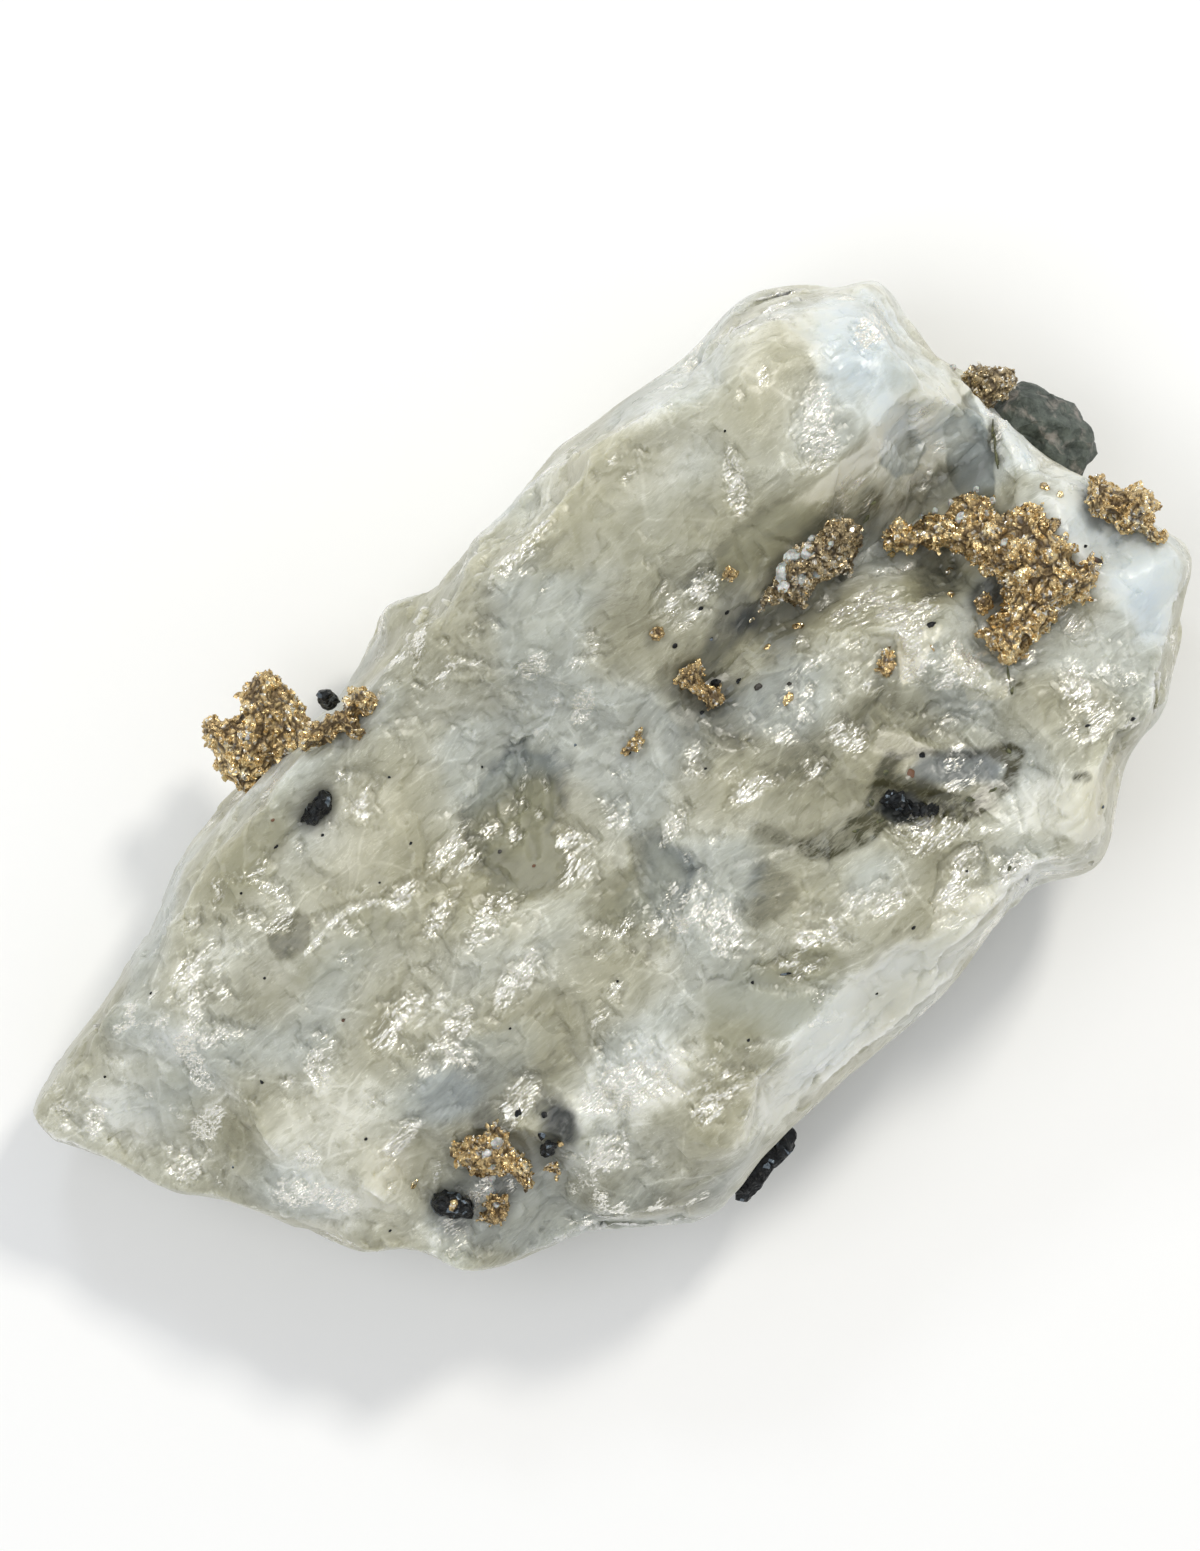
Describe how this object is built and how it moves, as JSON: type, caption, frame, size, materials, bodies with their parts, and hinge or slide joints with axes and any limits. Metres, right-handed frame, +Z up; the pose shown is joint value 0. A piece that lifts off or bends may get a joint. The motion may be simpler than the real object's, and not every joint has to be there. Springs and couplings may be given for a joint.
{
  "type": "native metal on quartz matrix",
  "caption": "Hand specimen of milky vein quartz carrying hackly growths of native metal, with black sulphide grains and a chip of dark wallrock; it rests on a flat base.",
  "frame": {"origin": "middle of the bounding box on the surface the specimen rests on", "axes": "+X along the block's long axis towards its blunt end, +Y across it towards the thick slab, +Z up from the flat base to the face that shows the metal"},
  "size_m": [0.0788, 0.0451, 0.0264],
  "materials": {
    "quartz": "milky white to greenish grey vein quartz with glassy, hackly broken faces and tan stains",
    "metal": "bright hackly native metal, golden with bronze-brown hollows",
    "sulphide": "black, lustrous on broken faces",
    "wallrock": "dull dark green-grey with pale smears"
  },
  "bodies": {
    "root": {"quartz_matrix": "quartz", "main_metal_mass": "metal", "hollow_metal_nugget": "metal", "west_metal_lobe": "metal", "rim_metal_tuft": "metal", "edge_metal_branch": "metal", "centre_metal_nugget": "metal", "small_metal_nugget": "metal", "hanging_metal_nugget": "metal", "slab_metal_speck": "metal", "slab_metal_ring": "metal", "foot_metal_cluster": "metal", "foot_lower_metal": "metal", "foot_side_metal": "metal", "edge_metal_tuft": "metal", "wallrock_metal_patch": "metal", "foot_black_grain": "sulphide", "foot_side_black_grain": "sulphide", "left_black_grain": "sulphide", "edge_black_grain": "sulphide", "groove_dark_mineral": "sulphide", "rim_black_sliver": "sulphide", "dark_wallrock": "wallrock"}
  },
  "joints": []
}
